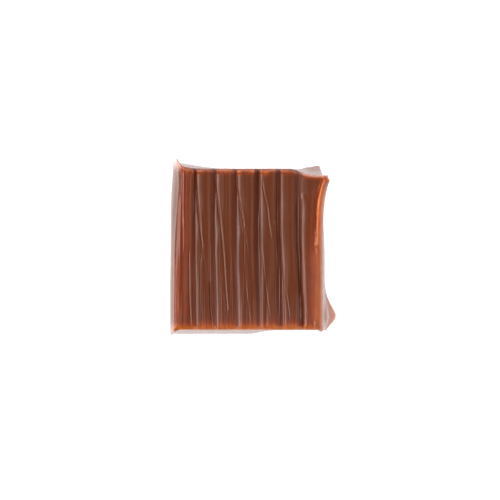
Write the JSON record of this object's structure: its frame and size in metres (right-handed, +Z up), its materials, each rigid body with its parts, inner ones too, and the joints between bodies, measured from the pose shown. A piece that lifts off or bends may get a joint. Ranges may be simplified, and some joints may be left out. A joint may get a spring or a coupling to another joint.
{
  "type": "caramel candy",
  "caption": "Soft caramel candy: an unwrapped slab with lengthwise grooves on top, swollen side walls, a thin lip on one edge and a squeezed-out foot at one corner.",
  "frame": {"origin": "middle of the outer box, on the flat underside that the caramel rests on", "axes": "+Z up through the grooved face, +Y along the grooves, +X across them towards the side with the thin lip"},
  "size_m": [0.0234, 0.0248, 0.0127],
  "materials": {
    "caramel": "soft caramel, brown and slightly translucent, orange at thin edges, with a waxy gloss"
  },
  "bodies": {
    "root": {"caramel": "caramel"}
  },
  "joints": []
}
